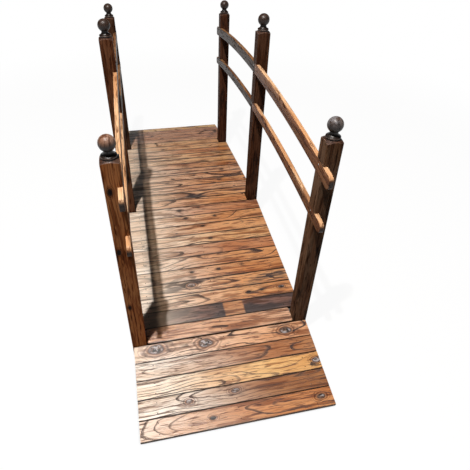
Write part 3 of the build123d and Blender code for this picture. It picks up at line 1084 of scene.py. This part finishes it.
def turned_post(place, x_sign, y, bottom, ball_above_deck, timber_look):
    """A post with its turned head and its two housings."""
    name = place + "_turned_post"
    ball_z = deck_top(y) + ball_above_deck
    rings = turned_rings(bottom, ball_z)
    count = len(SECTION)
    points = [(px + x_sign * POST_X, py + y, pz) for ring in rings for px, py, pz in ring]
    last = len(points) - count
    points.append((x_sign * POST_X, y, ball_z + BALL_RADIUS))
    faces = [tuple(reversed(range(count)))] + ring_faces(len(rings), count)
    faces += [(last + index, last + (index + 1) % count, len(points) - 1) for index in range(count)]
    mesh = bpy.data.meshes.new(name)
    mesh.from_pydata(points, [], faces)
    thing = add_object(name + "_blank", mesh)
    blocks = [notch_block(above_deck, depth, x_sign, y) for above_deck, depth in RAIL_LEVELS.values()]
    for block in blocks:
        cut = thing.modifiers.new("housing", "BOOLEAN")
        cut.operation = "DIFFERENCE"
        cut.solver = "EXACT"
        cut.object = block
    piece = plain_mesh(name, thing)
    for block in blocks:
        discard(block)
    piece.data.materials.clear()
    piece.data.materials.append(POST_FINISH)
    piece.data.materials.append(HEAD_FINISH)
    shoulder_z = ball_z - GROOVE_BELOW_BALL - SHOULDER_HEIGHT
    for face in piece.data.polygons:
        if face.center.z > shoulder_z and len(face.vertices) < 20:
            face.material_index = 1
    ball_middle = Vector((x_sign * POST_X, y, ball_z))
    ball_tone = BALL_TONES.get(place, PLAIN_BALL_TONE)
    finish_timber(piece, [place + "_post"], timber_look,
                  lambda at: (at.z, at.x - x_sign * POST_X, at.y - y + POST_WIDTH / 2),
                  lambda vertex: head_tone(vertex.co - ball_middle, timber_look["tone"], ball_tone))


post_dice = random.Random(5)
for end, y, bottom, above in (("near", -POST_PITCH, 0.0, END_BALL_ABOVE_DECK),
                              ("middle", 0.0, ARCH_RISE, MIDDLE_BALL_ABOVE_DECK),
                              ("far", POST_PITCH, 0.0, END_BALL_ABOVE_DECK)):
    for hand, x_sign in (("left", -1), ("right", 1)):
        place = f"{end}_{hand}"
        seed = post_dice.uniform(0, 40)
        pith = (post_dice.choice((-0.05, 0.05)), 0.05, 0.0)
        timber_look = look(POST_TONES[place], seed, pith, POST_SCORCHES.get(place, PLAIN_POST_SCORCH), 1.0,
                           POST_KNOTS.get(place, ()))
        turned_post(place, x_sign, y, bottom, above, timber_look)


# Nails in the deck and screws in the rails.
def worn_metal():
    """Colour and roughness of metal that has dulled in patches."""
    g, given, taken = named_tree(
        "worn_metal", "ShaderNodeTree",
        {"Vector": ("Place",), "Color": ("Metal", "Dull"), "Float": ("Wear",)}, FINISH_OUTPUTS)
    patch = g.noise(given["Place"], scale=420.0, detail=3.0)
    grain = g.noise(given["Place"], scale=2600.0)
    dulled = g.spread(patch, g.minus(0.75, given["Wear"]), g.minus(0.95, given["Wear"]))
    g.feed(taken["Color"], g.mix(dulled, given["Metal"], given["Dull"]))
    g.feed(taken["Roughness"], g.scaled(dulled, 0.30, g.scaled(grain, 0.12, 0.26)))
    g.feed(taken["Height"], g.scaled(dulled, 0.6, g.times(grain, 0.4)))
    return g.tree


METAL = worn_metal()


def metal_finish(name, metal, dull, wear):
    """A metal for fasteners, dulled in patches."""
    material, g, shader, group = surface(name, METAL)
    place = g.put("ShaderNodeTexCoord").outputs["Object"]
    for label, value in (("Place", place), ("Metal", metal), ("Dull", dull), ("Wear", wear)):
        g.feed(group.inputs[label], value)
    shader.inputs["Metallic"].default_value = 1.0
    dress_shader(g, shader, group, group.outputs["Color"], 0.5, 0.0002)
    return material


NAIL_FINISH = metal_finish("dull_nail_iron", linear(96, 86, 80), linear(48, 36, 30), 0.35)
SCREW_FINISH = metal_finish("screw_steel", linear(206, 202, 196), linear(150, 142, 132), 0.15)


def head_driver():
    """Node tree that sets a low domed head on every point, turned to face along the point's turn."""
    g, given, taken = named_tree(
        "drive_heads", "GeometryNodeTree",
        {"Geometry": ("Places",), "Float": ("Head Radius", "Head Height", "Sunk", "Size Spread"),
         "Int": ("Seed",), "Material": ("Finish",)}, {"Geometry": ("Heads",)})
    radius, height = given["Head Radius"], given["Head Height"]
    head = g.run("GeometryNodeMeshCone", {"Vertices": 12, "Side Segments": 3, "Radius Bottom": radius,
                                          "Radius Top": g.times(radius, 0.7), "Depth": height})
    x, y, z = g.split(g.put("GeometryNodeInputPosition").outputs[0])
    share = g.over(z, height)
    swell = g.scaled(g.times(share, g.minus(1.0, share)), 0.45, 1.0)
    domed = g.join(g.times(x, swell), g.times(y, swell), g.minus(z, given["Sunk"]))
    head = g.run("GeometryNodeSetPosition", {"Geometry": head, "Position": domed})
    turn = g.run("GeometryNodeInputNamedAttribute", {"Name": "turn"}, data_type="FLOAT_VECTOR")
    chance = g.run("FunctionNodeRandomValue", {"Seed": given["Seed"]}, 1, data_type="FLOAT")
    size = g.minus(1.0, g.times(chance, given["Size Spread"]))
    driven = g.run("GeometryNodeInstanceOnPoints", {"Points": given["Places"], "Instance": head,
                                                    "Rotation": turn, "Scale": g.join(size, size, 1.0)})
    driven = g.run("GeometryNodeRealizeInstances", {"Geometry": driven})
    driven = g.run("GeometryNodeSetMaterial", {"Geometry": driven, "Material": given["Finish"]})
    g.feed(taken["Heads"], driven)
    return g.tree


HEAD_TREE = head_driver()


def drive_heads(name, places, head_sizes, finish):
    """One piece for a set of nail or screw heads; places are (position, turn)."""
    mesh = places_mesh(name, [position for position, turn in places])
    write_layer(mesh, "turn", "FLOAT_VECTOR", [turn for position, turn in places])
    grow(name, mesh, HEAD_TREE, {**head_sizes, "Size Spread": 0.15, "Seed": 3, "Finish": finish})


screw_places = []
for above_deck, depth in RAIL_LEVELS.values():
    for x_sign in (-1, 1):
        for y in SCREW_LINES:
            position = (x_sign * POST_INNER_X, y, rail_height(y, above_deck, SCREW_BELOW_TOP))
            screw_places.append((position, (0.0, -x_sign * math.pi / 2, 0.0)))
drive_heads("deck_nail_heads", nail_places, NAIL_HEAD, NAIL_FINISH)
drive_heads("rail_screw_heads", screw_places, SCREW_HEAD, SCREW_FINISH)


# Floor, light and camera.
WHITE = (1.0, 1.0, 1.0, 1.0)
FLOOR_LIT = (0.14, 0.14, 0.14, 1.0)
FLOOR_SHADOW = (0.06, 0.06, 0.06, 1.0)
FLOOR_PLAIN = (0.0, 0.0, 0.0, 1.0)
FLOOR_FADE = (2.2, 4.0)
WALL_FADE = (2.5, 0.2)
SHADE_PAST_SIDES = 0.012
SHADE_PAST_ENDS = 0.002
SHADE_INSET = 0.02
LAMP_Y = -1.518
LAMP_Z = 4.68


def floor():
    """A pale floor that curves up into a low round wall: white to the eye, dull as a source of light."""
    flat, bend, top, around = 12.0, 2.0, 8.0, 64
    profile = [(flat, 0.0)] + arc_points((flat, bend), bend, -80, 0, 8) + [(flat + bend, top)]
    turns = [2 * math.pi * index / around for index in range(around)]
    points = [(r * math.cos(t), r * math.sin(t), z) for r, z in profile for t in turns]
    mesh = bpy.data.meshes.new("floor")
    mesh.from_pydata(points, [], [tuple(range(around))] + ring_faces(len(profile), around))
    material = bpy.data.materials.new("pale_floor")
    material.use_nodes = True
    mesh.materials.append(material)
    g = Graph(material.node_tree)
    shader = material.node_tree.nodes["Principled BSDF"]
    shader.inputs["Roughness"].default_value = 1.0
    shader.inputs["Specular IOR Level"].default_value = 0.0
    shader.inputs["Emission Color"].default_value = WHITE
    rays = g.put("ShaderNodeLightPath").outputs
    place = g.put("ShaderNodeTexCoord").outputs["Object"]
    away = g.run("ShaderNodeVectorMath", {0: place}, "Value", operation="LENGTH")
    across, along, height = g.split(place)
    mirrored = g.times(rays["Is Glossy Ray"], g.spread(height, *WALL_FADE, 0.07, 1.0))
    seen = g.math("MAXIMUM", rays["Is Camera Ray"], rays["Is Transmission Ray"])
    seen = g.math("MAXIMUM", seen, mirrored)

    # The floor under the bridge is painted dark as a painted shadow, and round it the floor takes the
    # bridge's shadow.
    beside, beyond = (g.spread(g.math("ABSOLUTE", off), half + past, half - SHADE_INSET)
                      for off, half, past in ((across, DECK_WIDTH / 2, SHADE_PAST_SIDES),
                                              (along, DECK_END_Y, SHADE_PAST_ENDS)))
    below = g.times(beside, beyond)
    shown = g.mix(g.spread(away, *FLOOR_FADE), FLOOR_SHADOW, FLOOR_PLAIN)
    g.feed(shader.inputs["Base Color"], g.mix(seen, FLOOR_LIT, shown))
    # Painted shadow: the floor's brightness is cut under the bridge.
    bright = g.times(g.spread(away, *FLOOR_FADE, 0.945, 1.0), g.scaled(below, -0.92, 1.0))
    g.feed(shader.inputs["Emission Strength"], g.times(seen, bright))
    add_object("floor", mesh)


def lights():
    """Two small lamps high up at the near left, the second weaker and warmer, and a low even surround."""
    world = bpy.data.worlds.new("studio")
    bpy.context.scene.world = world
    world.use_nodes = True
    back = world.node_tree.nodes["Background"]
    back.inputs["Color"].default_value = WHITE
    back.inputs["Strength"].default_value = 0.042
    for name, power, colour, radius, x in (("key_lamp", 785.0, (1.0, 1.0, 1.0), 0.045, -0.805),
                                           ("second_lamp", 180.0, (1.0, 0.78, 0.58), 0.060, -0.640)):
        lamp = bpy.data.lights.new(name, "POINT")
        lamp.energy = power
        lamp.color = colour
        lamp.shadow_soft_size = radius
        add_object(name, lamp).location = (x, LAMP_Y, LAMP_Z)


def camera():
    """The eye that the bridge is seen from."""
    eye = bpy.data.cameras.new("camera")
    eye.sensor_fit = "HORIZONTAL"
    eye.sensor_width = 36.0
    eye.lens = 32.56
    eye.shift_x = 0.0305
    eye.shift_y = -0.0435
    eye.clip_start = 0.05
    view = add_object("camera", eye)
    view.location = (-0.2775, -2.0965, 1.7105)
    view.rotation_euler = Euler([math.radians(turn) for turn in (52.069, -0.948, -11.644)], "XYZ")
    bpy.context.scene.camera = view


floor()
lights()
camera()
bpy.context.scene.view_settings.view_transform = "Standard"
